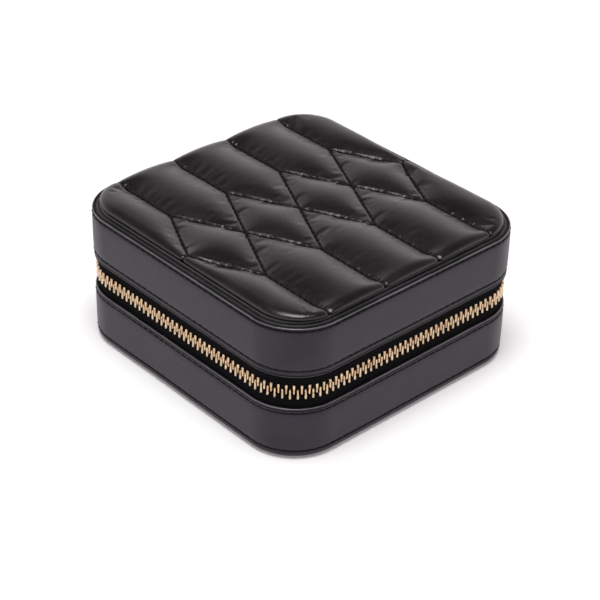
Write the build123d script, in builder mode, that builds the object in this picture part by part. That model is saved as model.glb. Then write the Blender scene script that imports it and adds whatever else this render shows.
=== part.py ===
"""Square leather jewellery case with a quilted lid, closed by a metal zip round three sides.

Millimetres. +Z is up, the front is -Y, the leather hinge is on the back at +Y. The origin is the
middle of the underside, on the table. The case is closed, with the zip slider at its closed end.
"""

import os
from math import radians

from build123d import *

# Closed case, seen from above
CASE_X = 112.0
CASE_Y = 116.0
CORNER_R = 19.0

# Levels above the table
UNDERSIDE_T = 0.8
UNDERSIDE_INSET = 2.2
BASE_EDGE_Z = 20.3
LID_EDGE_Z = 32.7
LID_TOP_Z = 51.4
LEDGE_Z = 51.7
PAD_TOP_Z = 55.3
ZIP_Z = (BASE_EDGE_Z + LID_EDGE_Z) / 2

# Layers of the wall, from the outside in
LEATHER_T = 1.2
TAPE_T = 0.8
FRAME_INNER = 4.3
LINING_INNER = 5.3
TAPE_SEWN_DEPTH = 8.0
BOARD_T = 2.2
FRAME_SETBACK = 0.4
LID_BOARD_DEPTH = 0.8
LID_LINING_T = 1.0
EDGE_ROUND_R = 1.4
CUT_EDGE_R = 0.5

# Zip chain
TOOTH_PITCH = 2.43
CHAIN_W = 5.9
TOOTH_ROOT_W = 1.35
TOOTH_HEAD_W = 0.94
TOOTH_REACH = 1.05
TOOTH_T = 2.2
TAPE_EDGE = 1.3
CHAIN_INSET = LEATHER_T + TAPE_T / 2
CHAIN_START_ANGLE = 44.0

# Zip slider, on the straight run of the right-hand side
SLIDER_L = 9.5
SLIDER_Y = 31.5
PLATE_T = 0.9
PLATE_GAP = 0.2
PIN_R = 0.45

# Inside
FLOOR_LINING_T = 0.8
HALF_LINING_GAP = 0.85
BASE_LINING_TOP = ZIP_Z - HALF_LINING_GAP
LID_LINING_BOTTOM = ZIP_Z + HALF_LINING_GAP
DIVIDER_T = 2.0
DIVIDER_TOP = 22.4
ROLL_COUNT = 7
ROLL_PITCH = 14.2
ROLL_W = 13.4
ROLL_H = 17.0
ROLL_L = 44.4
ROLL_END_R = 1.2
ROLLS_TO_MIDDLE = 1.4
MIRROR_X = 72.0
MIRROR_Y = 76.0
MIRROR_T = 2.0
MIRROR_R = 8.0
MIRROR_LAP = 2.0
SURROUND_LIP_T = 1.0

HALF_X = CASE_X / 2
HALF_Y = CASE_Y / 2
FLOOR_Z = UNDERSIDE_T + LEATHER_T + BOARD_T
INSIDE_Z = FLOOR_Z + FLOOR_LINING_T
LID_BOARD_Z = LID_TOP_Z - LID_BOARD_DEPTH - BOARD_T
LID_INSIDE_Z = LID_BOARD_Z - LID_LINING_T
INSIDE_X = HALF_X - LINING_INNER
INSIDE_Y = HALF_Y - LINING_INNER
HINGE_HALF_W = 35.6

os.makedirs("parts", exist_ok=True)


def save(piece, name):
    """Label a finished piece and write it as its own STEP file."""
    piece.part.label = name
    export_step(piece.part, f"parts/{name}.step")


def outline(inset, mode=Mode.ADD):
    """The case's rounded outline, drawn this far in from its outside."""
    width = CASE_X - 2 * inset
    depth = CASE_Y - 2 * inset
    RectangleRounded(width, depth, CORNER_R - inset, mode=mode)


def wall(outer, inner, bottom, top):
    """A closed wall round the case between two insets."""
    with BuildPart() as ring:
        with BuildSketch(Plane.XY.offset(bottom)):
            outline(outer)
            outline(inner, Mode.SUBTRACT)
        extrude(amount=top - bottom)
    return ring


def slab(inset, bottom, top):
    """A flat layer that follows the case's outline."""
    with BuildPart() as layer:
        with BuildSketch(Plane.XY.offset(bottom)):
            outline(inset)
        extrude(amount=top - bottom)
    return layer


def block(x_span, y_span, z_span):
    """A plain block between two values on each axis."""
    with BuildPart() as piece:
        with BuildSketch(Plane.XY.offset(z_span[0])):
            with Locations(((x_span[0] + x_span[1]) / 2, (y_span[0] + y_span[1]) / 2)):
                Rectangle(x_span[1] - x_span[0], y_span[1] - y_span[0])
        extrude(amount=z_span[1] - z_span[0])
    return piece


# Base: leather, boards and lining

TURN_UNDER = 9.0


def make_base_band():
    """Side leather with a rounded bottom edge, turned under the case."""
    with BuildPart() as band:
        with BuildSketch(Plane.XY.offset(UNDERSIDE_T)):
            outline(0)
        extrude(amount=BASE_EDGE_Z - UNDERSIDE_T)
        fillet(band.faces().sort_by(Axis.Z)[0].edges(), EDGE_ROUND_R)
        fillet(band.faces().sort_by(Axis.Z)[-1].edges(), CUT_EDGE_R)
        with BuildSketch(Plane.XY.offset(UNDERSIDE_T + LEATHER_T)):
            outline(LEATHER_T)
        extrude(amount=BASE_EDGE_Z, mode=Mode.SUBTRACT)
        with BuildSketch(Plane.XY.offset(UNDERSIDE_T)):
            outline(TURN_UNDER)
        extrude(amount=LEATHER_T, mode=Mode.SUBTRACT)
    return band


def frame_wall(bottom, top, tape_end, tape_below):
    """Board wall behind the side leather, rebated where the zip tape is sewn in."""
    rebate = LEATHER_T + TAPE_T
    with BuildPart() as frame:
        with BuildSketch(Plane.XY.offset(bottom)):
            outline(LEATHER_T)
            outline(FRAME_INNER, Mode.SUBTRACT)
        extrude(amount=top - bottom)
        start = tape_end if not tape_below else bottom
        height = (top - tape_end) if not tape_below else (tape_end - bottom)
        with BuildSketch(Plane.XY.offset(start)):
            outline(LEATHER_T)
            outline(rebate, Mode.SUBTRACT)
        extrude(amount=height, mode=Mode.SUBTRACT)
    return frame


LOWER_TAPE_Z = BASE_EDGE_Z - TAPE_SEWN_DEPTH
UPPER_TAPE_Z = LID_EDGE_Z + TAPE_SEWN_DEPTH

save(slab(UNDERSIDE_INSET, 0, UNDERSIDE_T), "base_underside")
save(slab(TURN_UNDER, UNDERSIDE_T, UNDERSIDE_T + LEATHER_T), "base_filler_card")
save(make_base_band(), "base_band")
save(slab(LEATHER_T, UNDERSIDE_T + LEATHER_T, FLOOR_Z), "base_board")
save(frame_wall(FLOOR_Z, BASE_EDGE_Z - FRAME_SETBACK, LOWER_TAPE_Z, False), "base_frame")
save(slab(FRAME_INNER, FLOOR_Z, INSIDE_Z), "base_floor_lining")
save(wall(FRAME_INNER, LINING_INNER, INSIDE_Z, BASE_LINING_TOP), "base_wall_lining")


# Base: ring rolls and compartments


def make_ring_roll(centre_y):
    """One padded roll with a round top, rings being pushed in between two of them."""
    left = -ROLLS_TO_MIDDLE - ROLL_L
    with BuildPart() as roll:
        with BuildSketch(Plane.YZ.offset(left)):
            with Locations((centre_y, INSIDE_Z + (ROLL_H - ROLL_W / 2) / 2)):
                Rectangle(ROLL_W, ROLL_H - ROLL_W / 2)
            with Locations((centre_y, INSIDE_Z + ROLL_H - ROLL_W / 2)):
                Circle(ROLL_W / 2)
        extrude(amount=ROLL_L)
        ends = roll.faces().filter_by(Axis.X)
        fillet(ends.edges().filter_by(GeomType.CIRCLE), ROLL_END_R)
    return roll


for number in range(ROLL_COUNT):
    row_place = (number - (ROLL_COUNT - 1) / 2) * ROLL_PITCH
    save(make_ring_roll(row_place), f"ring_roll_{number + 1}")

half_divider = DIVIDER_T / 2
divider_z = (INSIDE_Z, DIVIDER_TOP)
SHORT_DIVIDER_Y = 17.6
save(
    block((-half_divider, half_divider), (-INSIDE_Y, INSIDE_Y), divider_z),
    "compartment_divider_long",
)
for side, name in ((-1, "front"), (1, "rear")):
    middle = side * SHORT_DIVIDER_Y
    save(
        block((half_divider, INSIDE_X), (middle - half_divider, middle + half_divider), divider_z),
        f"compartment_divider_{name}",
    )


# Lid: leather, boards, quilted pad, lining and mirror

LEDGE_INNER = 9.0
PAD_INSET = 3.2
PAD_COVER_T = 1.2
PAD_EDGE_R = 2.4
WADDING_EDGE_R = 1.2
WELT_W = 0.8


def make_lid_band():
    """Side leather of the lid, with softened cut edges."""
    with BuildPart() as band:
        with BuildSketch(Plane.XY.offset(LID_EDGE_Z)):
            outline(0)
        extrude(amount=LID_TOP_Z - LID_EDGE_Z)
        fillet(band.faces().sort_by(Axis.Z)[0].edges(), CUT_EDGE_R)
        fillet(band.faces().sort_by(Axis.Z)[-1].edges(), CUT_EDGE_R)
        with BuildSketch(Plane.XY.offset(LID_EDGE_Z)):
            outline(LEATHER_T)
        extrude(amount=LID_TOP_Z - LID_EDGE_Z, mode=Mode.SUBTRACT)
    return band


def make_wadding():
    """Foam under the quilted cover, let into the ledge's window."""
    with BuildPart() as foam:
        with BuildSketch(Plane.XY.offset(LEDGE_Z)):
            outline(PAD_INSET + PAD_COVER_T)
        extrude(amount=PAD_TOP_Z - PAD_COVER_T - LEDGE_Z)
        fillet(foam.faces().sort_by(Axis.Z)[-1].edges(), WADDING_EDGE_R)
        with BuildSketch(Plane.XY.offset(LID_BOARD_Z + BOARD_T)):
            outline(LEDGE_INNER)
        extrude(amount=LEDGE_Z - LID_BOARD_Z - BOARD_T)
    return foam


def make_quilted_cover():
    """Leather cover of the pad, crowned at its edge."""
    with BuildPart() as cover:
        with BuildSketch(Plane.XY.offset(LEDGE_Z)):
            outline(PAD_INSET)
        extrude(amount=PAD_TOP_Z - LEDGE_Z)
        fillet(cover.faces().sort_by(Axis.Z)[-1].edges(), PAD_EDGE_R)
        add(make_wadding().part, mode=Mode.SUBTRACT)
    return cover


def make_mirror_surround():
    """Padded card round the mirror, lapping over its edge to hold it."""
    window_x = MIRROR_X - 2 * MIRROR_LAP
    window_y = MIRROR_Y - 2 * MIRROR_LAP
    with BuildPart() as surround:
        with BuildSketch(Plane.XY.offset(LID_INSIDE_Z - MIRROR_T - SURROUND_LIP_T)):
            outline(LINING_INNER)
            RectangleRounded(window_x, window_y, MIRROR_R - MIRROR_LAP, mode=Mode.SUBTRACT)
        extrude(amount=MIRROR_T + SURROUND_LIP_T)
        with BuildSketch(Plane.XY.offset(LID_INSIDE_Z - MIRROR_T)):
            RectangleRounded(MIRROR_X, MIRROR_Y, MIRROR_R)
        extrude(amount=MIRROR_T, mode=Mode.SUBTRACT)
    return surround


def make_mirror():
    """Flat glass mirror with rounded corners."""
    with BuildPart() as glass:
        with BuildSketch(Plane.XY.offset(LID_INSIDE_Z - MIRROR_T)):
            RectangleRounded(MIRROR_X, MIRROR_Y, MIRROR_R)
        extrude(amount=MIRROR_T)
    return glass


save(make_lid_band(), "lid_band")
save(frame_wall(LID_EDGE_Z + FRAME_SETBACK, LID_BOARD_Z, UPPER_TAPE_Z, True), "lid_frame")
save(slab(LEATHER_T, LID_BOARD_Z, LID_BOARD_Z + BOARD_T), "lid_board")
save(wall(LEATHER_T, LEDGE_INNER, LID_BOARD_Z + BOARD_T, LEDGE_Z), "lid_rim_leather")
save(wall(PAD_INSET - WELT_W, PAD_INSET, LEDGE_Z, LEDGE_Z + WELT_W), "pad_welt")
save(make_wadding(), "pad_wadding")
save(make_quilted_cover(), "quilted_cover")
save(slab(FRAME_INNER, LID_INSIDE_Z, LID_BOARD_Z), "lid_top_lining")
save(wall(FRAME_INNER, LINING_INNER, LID_LINING_BOTTOM, LID_INSIDE_Z), "lid_wall_lining")
save(make_mirror_surround(), "mirror_surround")
save(make_mirror(), "mirror")


# Zip tapes and the leather hinge strip behind them


def make_tape(bottom, top):
    """Zip tape sewn behind the side leather, open at the back where the hinge leather is."""
    with BuildPart() as tape:
        with BuildSketch(Plane.XY.offset(bottom)):
            outline(LEATHER_T)
            outline(LEATHER_T + TAPE_T, Mode.SUBTRACT)
            with Locations((0, HALF_Y)):
                Rectangle(2 * HINGE_HALF_W, 2 * CORNER_R, mode=Mode.SUBTRACT)
        extrude(amount=top - bottom)
    return tape


def hinge_half(bottom, top):
    """One half of the leather hinge strip across the back."""
    outside = HALF_Y - LEATHER_T
    return block((-HINGE_HALF_W, HINGE_HALF_W), (outside - TAPE_T, outside), (bottom, top))


HINGE_SLIT = 0.6
save(make_tape(LOWER_TAPE_Z, ZIP_Z - TAPE_EDGE), "lower_zip_tape")
save(make_tape(ZIP_Z + TAPE_EDGE, UPPER_TAPE_Z), "upper_zip_tape")
save(hinge_half(LOWER_TAPE_Z, ZIP_Z - HINGE_SLIT), "lower_hinge_leather")
save(hinge_half(ZIP_Z + HINGE_SLIT, UPPER_TAPE_Z), "upper_hinge_leather")


# Zip chain

TOOTH_NECK = 1.2
TOOTH_SHOULDER = 0.25
TOOTH_TIP_H = 0.3
TOOTH_TIP_W = 0.22
CLASP_PLAY = 0.1
CLASP_NIP = 0.05
STOP_W = 1.7
STOP_REACH = -0.15
LAST_TOOTH_GAP = 0.9
TOP_STOP_GAP = 1.3
BOTTOM_STOP_GAP = 1.7

chain_x = HALF_X - CHAIN_INSET
chain_y = HALF_Y - CHAIN_INSET
chain_r = CORNER_R - CHAIN_INSET
CHAIN_END_Y = SLIDER_Y - SLIDER_L / 2 - LAST_TOOTH_GAP

with BuildLine() as chain_line:
    FilletPolyline(
        (0, chain_y),
        (-chain_x, chain_y),
        (-chain_x, -chain_y),
        (chain_x, -chain_y),
        (chain_x, CHAIN_END_Y),
        radius=chain_r,
    )
chain = chain_line.wire()
chain_start = (chain_x - chain_r) + chain_r * radians(90 - CHAIN_START_ANGLE)
chain_length = chain.length - chain_start


def chain_plane(distance, lower):
    """The chain's plane this far from its open end, drawn as a tooth of either row sees it."""
    at = chain_start + distance
    point = chain.position_at(at, position_mode=PositionMode.LENGTH)
    along = chain.tangent_at(at, position_mode=PositionMode.LENGTH)
    outward = along.cross(Vector(0, 0, 1))
    origin = (point.X, point.Y, ZIP_Z)
    return Plane(origin=origin, x_dir=along if lower else -along, z_dir=outward)


def make_clasp(root_w, head_w, reach):
    """A zip tooth or stop: two legs astride the tape and a head that passes the chain's middle."""
    root = CHAIN_W / 2
    neck = -TOOTH_NECK
    shoulder = neck + TOOTH_SHOULDER
    tip = reach - TOOTH_TIP_H
    tip_w = head_w / 2 - TOOTH_TIP_W
    with BuildPart() as clasp:
        with BuildSketch(Plane.XY.offset(-TOOTH_T / 2)):
            with BuildLine():
                Polyline(
                    (-root_w / 2, -root),
                    (root_w / 2, -root),
                    (root_w / 2, neck),
                    (head_w / 2, shoulder),
                    (head_w / 2, tip),
                    (tip_w, reach),
                    (-tip_w, reach),
                    (-head_w / 2, tip),
                    (-head_w / 2, shoulder),
                    (-root_w / 2, neck),
                    close=True,
                )
            make_face()
        extrude(amount=TOOTH_T)
        slot_top = CLASP_NIP - TAPE_EDGE
        with BuildSketch(Plane.XY.offset(-TAPE_T / 2 - CLASP_PLAY)):
            with Locations((0, (slot_top - CHAIN_W) / 2)):
                Rectangle(2 * root_w, CHAIN_W + slot_top)
        extrude(amount=TAPE_T + 2 * CLASP_PLAY, mode=Mode.SUBTRACT)
    return clasp


tooth = make_clasp(TOOTH_ROOT_W, TOOTH_HEAD_W, TOOTH_REACH)
stop = make_clasp(STOP_W, STOP_W, STOP_REACH)
RUN_LENGTH = CHAIN_END_Y + HALF_Y - CORNER_R


def teeth_places(lower, on_run):
    """Planes of one row's teeth, on the slider's straight run or on the rest of the chain."""
    run_start = chain_length - RUN_LENGTH
    first = 0 if lower else TOOTH_PITCH / 2
    count = int((chain_length - first) / TOOTH_PITCH) + 1
    spots = [first + TOOTH_PITCH * i for i in range(count)]
    chosen = [s for s in spots if (s > run_start) == on_run]
    return [chain_plane(s, lower) for s in chosen]


def make_teeth(lower, on_run):
    """All the teeth of one row on one stretch of the chain, each a separate solid."""
    with BuildPart() as row:
        with Locations(*teeth_places(lower, on_run)):
            add(tooth.part)
    return row


def make_stop(plane):
    """One metal stop clamped on a tape."""
    with BuildPart() as piece:
        with Locations(plane):
            add(stop.part)
    return piece


def side_plane(y, lower):
    """The chain's plane at a place on the right-hand side, beyond the last tooth."""
    along = Vector(0, 1 if lower else -1, 0)
    return Plane(origin=(chain_x, y, ZIP_Z), x_dir=along, z_dir=(1, 0, 0))


STOP_Y = SLIDER_Y + SLIDER_L / 2 + TOP_STOP_GAP
save(make_teeth(True, False), "lower_zip_teeth")
save(make_teeth(False, False), "upper_zip_teeth")
save(make_teeth(True, True), "lower_zip_teeth_slider_run")
save(make_teeth(False, True), "upper_zip_teeth_slider_run")
save(make_stop(side_plane(STOP_Y, True)), "lower_top_stop")
save(make_stop(side_plane(STOP_Y, False)), "upper_top_stop")
save(make_stop(chain_plane(-BOTTOM_STOP_GAP, True)), "zip_bottom_stop")


# Zip slider, its pin and its pull

PLATE_NARROW = 8.2
PLATE_WIDE = 9.8
FLANGE_W = 0.8
FLANGE_DEPTH = 0.45
WEDGE_SIZE = (1.3, 0.7)
WEDGE_FROM_END = 1.5
EAR_T = 0.9
EAR_H = 2.6
EAR_OUT = 2.1
EAR_GAP = 3.5
EAR_TIP_R = 0.9
PIN_STAND_OFF = 1.15
front_face_x = HALF_X - CHAIN_INSET + TOOTH_T / 2 + PLATE_GAP
back_face_x = HALF_X - CHAIN_INSET - TOOTH_T / 2 - PLATE_GAP
pin_x = front_face_x + PLATE_T + PIN_STAND_OFF


def slider_plane(x):
    """The plane of the slider's plates: its own X along the zip and its Y up."""
    return Plane(origin=(x, SLIDER_Y, ZIP_Z), x_dir=(0, 1, 0), z_dir=(1, 0, 0))


def plate_outline(shrink=0.0, mode=Mode.ADD):
    """The slider's shield shape, wide where the two tapes part."""
    half = SLIDER_L / 2
    narrow = PLATE_NARROW / 2 - shrink
    wide = PLATE_WIDE / 2 - shrink
    corners = ((-half, -narrow), (half, -wide), (half, wide), (-half, narrow))
    Polygon(*corners, align=None, mode=mode)


def make_slider():
    """Two plates joined by the wedge that parts the teeth, with two ears for the pull's pin."""
    with BuildPart() as slider:
        for x in (front_face_x, back_face_x - PLATE_T):
            with BuildSketch(slider_plane(x)):
                plate_outline()
            extrude(amount=PLATE_T)
        for x in (front_face_x - FLANGE_DEPTH, back_face_x):
            with BuildSketch(slider_plane(x)):
                plate_outline()
                plate_outline(FLANGE_W, Mode.SUBTRACT)
            extrude(amount=FLANGE_DEPTH)
        with BuildSketch(slider_plane(back_face_x)):
            with Locations((SLIDER_L / 2 - WEDGE_FROM_END, 0)):
                Ellipse(*WEDGE_SIZE)
        extrude(amount=front_face_x - back_face_x)
        with BuildSketch(slider_plane(front_face_x + PLATE_T)):
            with GridLocations(EAR_GAP + EAR_T, 1, 2, 1):
                Rectangle(EAR_T, EAR_H)
        extrude(amount=EAR_OUT)
        ear_tips = slider.edges().filter_by(Axis.Y).group_by(Axis.X)[-1]
        fillet(ear_tips, EAR_TIP_R)
        with BuildSketch(Plane.XZ.offset(-SLIDER_Y - SLIDER_L)):
            with Locations((pin_x, ZIP_Z)):
                Circle(PIN_R)
        extrude(amount=2 * SLIDER_L, mode=Mode.SUBTRACT)
    return slider


def make_pin():
    """Steel pin through the slider's two ears."""
    half = EAR_GAP / 2 + EAR_T
    with BuildPart() as pin:
        with BuildSketch(Plane.XZ.offset(-SLIDER_Y - half)):
            with Locations((pin_x, ZIP_Z)):
                Circle(PIN_R)
        extrude(amount=2 * half)
    return pin


PULL_L = 18.5
PULL_W = 6.4
PULL_T = 1.1
PULL_NECK_L = 2.4
PULL_SHOULDER_L = 5.2
PULL_TAPER = 0.3
PULL_CORNER_R = 1.0
PULL_HOLE_L = 7.0
PULL_HOLE_W = 2.6
HOLE_FROM_END = 5.4
KNUCKLE_R = 0.95
KNUCKLE_PLAY = 0.2
PIN_PLAY = 0.1


def make_pull():
    """Pull tab that hangs from the pin, with a long hole near its end."""
    knuckle_w = EAR_GAP - 2 * KNUCKLE_PLAY
    neck = knuckle_w / 2
    shoulder = PULL_W / 2
    foot = shoulder - PULL_TAPER
    with BuildPart() as pull:
        with BuildSketch(Plane.XZ.offset(-SLIDER_Y - knuckle_w / 2)):
            with Locations((pin_x, ZIP_Z)):
                Circle(KNUCKLE_R)
        extrude(amount=knuckle_w)
        with BuildSketch(slider_plane(pin_x - PULL_T / 2)):
            with BuildLine():
                FilletPolyline(
                    (-neck, 0),
                    (-neck, -PULL_NECK_L),
                    (-shoulder, -PULL_SHOULDER_L),
                    (-foot, -PULL_L),
                    (foot, -PULL_L),
                    (shoulder, -PULL_SHOULDER_L),
                    (neck, -PULL_NECK_L),
                    (neck, 0),
                    radius=PULL_CORNER_R,
                )
                Line((neck, 0), (-neck, 0))
            make_face()
            with Locations((0, -PULL_L + HOLE_FROM_END)):
                SlotOverall(PULL_HOLE_L, PULL_HOLE_W, rotation=90, mode=Mode.SUBTRACT)
        extrude(amount=PULL_T)
        with BuildSketch(Plane.XZ.offset(-SLIDER_Y - SLIDER_L)):
            with Locations((pin_x, ZIP_Z)):
                Circle(PIN_R + PIN_PLAY)
        extrude(amount=2 * SLIDER_L, mode=Mode.SUBTRACT)
    return pull


save(make_slider(), "zip_slider")
save(make_pin(), "zip_pull_pin")
save(make_pull(), "zip_pull_tab")
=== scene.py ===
"""Looks of a square leather jewellery case with a quilted lid and a metal zip.

Everything is in metres in the case's own frame: +Z up, front at -Y, leather hinge at +Y.
"""

import math

import bmesh
import bpy
import numpy as np
from mathutils import Matrix, Vector
from mathutils.geometry import delaunay_2d_cdt


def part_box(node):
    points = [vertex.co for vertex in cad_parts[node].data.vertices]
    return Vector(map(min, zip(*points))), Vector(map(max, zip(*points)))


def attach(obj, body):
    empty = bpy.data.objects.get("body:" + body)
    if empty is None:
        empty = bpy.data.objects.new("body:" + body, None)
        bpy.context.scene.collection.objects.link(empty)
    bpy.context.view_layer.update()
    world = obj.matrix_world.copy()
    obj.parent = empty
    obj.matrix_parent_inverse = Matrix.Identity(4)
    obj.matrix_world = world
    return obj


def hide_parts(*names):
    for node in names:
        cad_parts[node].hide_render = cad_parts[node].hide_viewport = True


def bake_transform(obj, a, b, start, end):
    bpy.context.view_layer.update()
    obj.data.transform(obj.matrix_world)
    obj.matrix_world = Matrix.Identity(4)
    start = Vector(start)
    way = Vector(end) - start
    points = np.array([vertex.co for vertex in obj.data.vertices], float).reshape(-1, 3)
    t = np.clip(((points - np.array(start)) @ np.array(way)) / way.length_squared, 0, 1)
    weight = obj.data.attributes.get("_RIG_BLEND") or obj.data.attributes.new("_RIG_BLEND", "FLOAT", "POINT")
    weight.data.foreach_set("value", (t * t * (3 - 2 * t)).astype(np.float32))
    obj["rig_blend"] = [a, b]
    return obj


MM = 0.001
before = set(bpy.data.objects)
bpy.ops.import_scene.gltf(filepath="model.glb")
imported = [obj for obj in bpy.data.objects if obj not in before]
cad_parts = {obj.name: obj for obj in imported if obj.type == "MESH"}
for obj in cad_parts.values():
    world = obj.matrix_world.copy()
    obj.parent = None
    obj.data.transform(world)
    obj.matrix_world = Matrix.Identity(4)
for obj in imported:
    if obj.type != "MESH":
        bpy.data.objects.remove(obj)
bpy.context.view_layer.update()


# --- driving sizes, from the frame

band_low, band_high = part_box("base_band")
lid_low, lid_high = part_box("lid_band")

HALF_X = band_high.x
HALF_Y = band_high.y
CORNER_R = 19.0 * MM
BASE_EDGE = band_high.z
LID_EDGE = lid_low.z
LID_TOP = lid_high.z
ZIP_Z = (BASE_EDGE + LID_EDGE) / 2
LEATHER_T = 1.2 * MM
TAPE_T = 0.8 * MM
CHAIN_INSET = LEATHER_T + TAPE_T / 2
LINING_T = 1.0 * MM


# --- materials


def new_material(name, color, roughness, **constants):
    """A Principled material with constants on its shader, and coordinates that ride along."""
    material = bpy.data.materials.new(name)
    material.use_nodes = True
    shader = material.node_tree.nodes["Principled BSDF"]
    shader.inputs["Base Color"].default_value = (*color, 1.0)
    shader.inputs["Roughness"].default_value = roughness
    for key, value in constants.items():
        shader.inputs[key.replace("_", " ")].default_value = value
    where = add_node(material.node_tree, "ShaderNodeTexCoord").outputs["Object"]
    return material, material.node_tree, shader, where


def add_node(tree, kind, inputs=None, **settings):
    """One node, with its properties and its unlinked inputs set."""
    node = tree.nodes.new(kind)
    for key, value in settings.items():
        setattr(node, key, value)
    for key, value in (inputs or {}).items():
        node.inputs[key].default_value = value
    return node


def noise(tree, where, scale, detail=3.0, roughness=0.5):
    """Fractal noise at this many cells to the metre."""
    inputs = {"Scale": scale, "Detail": detail, "Roughness": roughness}
    node = add_node(tree, "ShaderNodeTexNoise", inputs)
    tree.links.new(where, node.inputs["Vector"])
    return node.outputs["Fac"]


def pebbles(tree, where, scale):
    """Rounded cells at this many to the metre."""
    node = add_node(tree, "ShaderNodeTexVoronoi", {"Scale": scale}, feature="SMOOTH_F1")
    tree.links.new(where, node.inputs["Vector"])
    return node.outputs["Distance"]


def wave(tree, where, direction, scale, distortion):
    """Parallel bands, closer together at a higher scale."""
    inputs = {"Scale": scale, "Distortion": distortion}
    node = add_node(tree, "ShaderNodeTexWave", inputs, bands_direction=direction)
    tree.links.new(where, node.inputs["Vector"])
    return node.outputs["Fac"]


def spread(tree, value, low, high):
    """A 0 to 1 value spread between two others."""
    node = add_node(tree, "ShaderNodeMapRange", {"To Min": low, "To Max": high})
    tree.links.new(value, node.inputs["Value"])
    return node.outputs["Result"]


def ramp(tree, value, *stops):
    """A colour from a value: each stop is a place and a colour."""
    node = add_node(tree, "ShaderNodeValToRGB")
    elements = node.color_ramp.elements
    while len(elements) < len(stops):
        elements.new(0.5)
    for element, (place, color) in zip(elements, stops):
        element.position = place
        element.color = (*color, 1.0)
    tree.links.new(value, node.inputs["Fac"])
    return node.outputs["Color"]


def color_by(tree, shader, value, *stops):
    """Give a shader its colour by a value."""
    tree.links.new(ramp(tree, value, *stops), shader.inputs["Base Color"])


def gloss_by(tree, shader, value, low, high):
    """Give a shader its roughness by a value, between two others."""
    tree.links.new(spread(tree, value, low, high), shader.inputs["Roughness"])


def mathematics(tree, operation, first, second):
    """Two values joined by arithmetic; either may be a plain number."""
    node = add_node(tree, "ShaderNodeMath", operation=operation)
    for socket, value in zip(node.inputs, (first, second)):
        if isinstance(value, (int, float)):
            socket.default_value = value
        else:
            tree.links.new(value, socket)
    return node.outputs["Value"]


def bump(tree, shader, height, depth):
    """Relief this deep in metres, added to any that the shader already has."""
    node = add_node(tree, "ShaderNodeBump", {"Strength": 1.0, "Distance": depth})
    tree.links.new(height, node.inputs["Height"])
    for link in list(shader.inputs["Normal"].links):
        tree.links.new(link.from_socket, node.inputs["Normal"])
    tree.links.new(node.outputs["Normal"], shader.inputs["Normal"])


def leather(name, dark, light, roughness, grain_mm, grain_depth, **constants):
    """Grained leather: pebbles, pores and a slow change of colour and gloss."""
    material, tree, shader, where = new_material(name, dark, roughness, **constants)
    grain = pebbles(tree, where, 1 / (grain_mm * MM))
    fine = noise(tree, where, 2.2 / (grain_mm * MM), 4.0, 0.6)
    slow = noise(tree, where, 70.0, 3.0, 0.55)
    mixed = mathematics(tree, "ADD", mathematics(tree, "MULTIPLY", fine, 0.35), slow)
    color_by(tree, shader, mixed, (0.40, dark), (0.95, light))
    patchy = mathematics(tree, "MULTIPLY", fine, slow)
    gloss_by(tree, shader, patchy, roughness - 0.1, roughness + 0.35)
    bump(tree, shader, grain, grain_depth * MM)
    bump(tree, shader, fine, grain_depth * 0.5 * MM)
    return material


def fabric(name, dark, light, weave_mm, depth, sheen):
    """Short-pile lining cloth with a soft sheen."""
    material, tree, shader, where = new_material(name, dark, 0.9, Sheen_Weight=sheen,
                                                 Sheen_Roughness=0.4)
    pile = noise(tree, where, 1 / (weave_mm * MM), 5.0, 0.7)
    slow = noise(tree, where, 60.0, 2.0, 0.5)
    mixed = mathematics(tree, "ADD", mathematics(tree, "MULTIPLY", pile, 0.5), slow)
    color_by(tree, shader, mixed, (0.45, dark), (1.0, light))
    bump(tree, shader, pile, depth * MM)
    return material


def woven_tape(name):
    """Black zip tape with a fine woven relief."""
    material, tree, shader, where = new_material(name, (0.004, 0.004, 0.0045), 0.9,
                                                 Specular_IOR_Level=0.06)
    ribs = wave(tree, where, "Z", 1100.0, 0.4)
    yarn = wave(tree, where, "DIAGONAL", 700.0, 0.6)
    weave = mathematics(tree, "MULTIPLY", ribs, yarn)
    color_by(tree, shader, weave, (0.0, (0.0015, 0.0015, 0.002)), (1.0, (0.008, 0.008, 0.009)))
    bump(tree, shader, weave, 0.08 * MM)
    return material


def metal(name, color, deep, roughness, pitting=0.01):
    """Cast and tumbled metal: darker patches, uneven gloss and faint pits."""
    material, tree, shader, where = new_material(name, color, roughness, Metallic=1.0)
    patchy = noise(tree, where, 900.0, 4.0, 0.6)
    color_by(tree, shader, patchy, (0.3, deep), (0.62, color))
    worn = noise(tree, where, 2500.0, 3.0, 0.6)
    gloss_by(tree, shader, worn, roughness - 0.08, roughness + 0.14)
    bump(tree, shader, noise(tree, where, 4000.0, 2.0, 0.5), pitting * MM)
    return material


def thread(name, dark, light, roughness, gloss):
    """Twisted, waxed thread."""
    material, tree, shader, where = new_material(name, dark, roughness, Specular_IOR_Level=gloss)
    twist = wave(tree, where, "DIAGONAL", 1500.0, 1.0)
    color_by(tree, shader, twist, (0.2, dark), (1.0, light))
    bump(tree, shader, twist, 0.05 * MM)
    return material


def card(name, dark, light):
    """Dyed bookbinder's board."""
    material, tree, shader, where = new_material(name, dark, 0.85)
    fibre = noise(tree, where, 1500.0, 5.0, 0.7)
    color_by(tree, shader, fibre, (0.3, dark), (0.8, light))
    bump(tree, shader, fibre, 0.04 * MM)
    return material


def mirror_glass(name):
    """Silvered glass with the faintest unevenness."""
    material, tree, shader, where = new_material(name, (0.93, 0.94, 0.94), 0.02, Metallic=1.0)
    haze = noise(tree, where, 40.0, 3.0, 0.6)
    gloss_by(tree, shader, haze, 0.01, 0.035)
    return material


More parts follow.
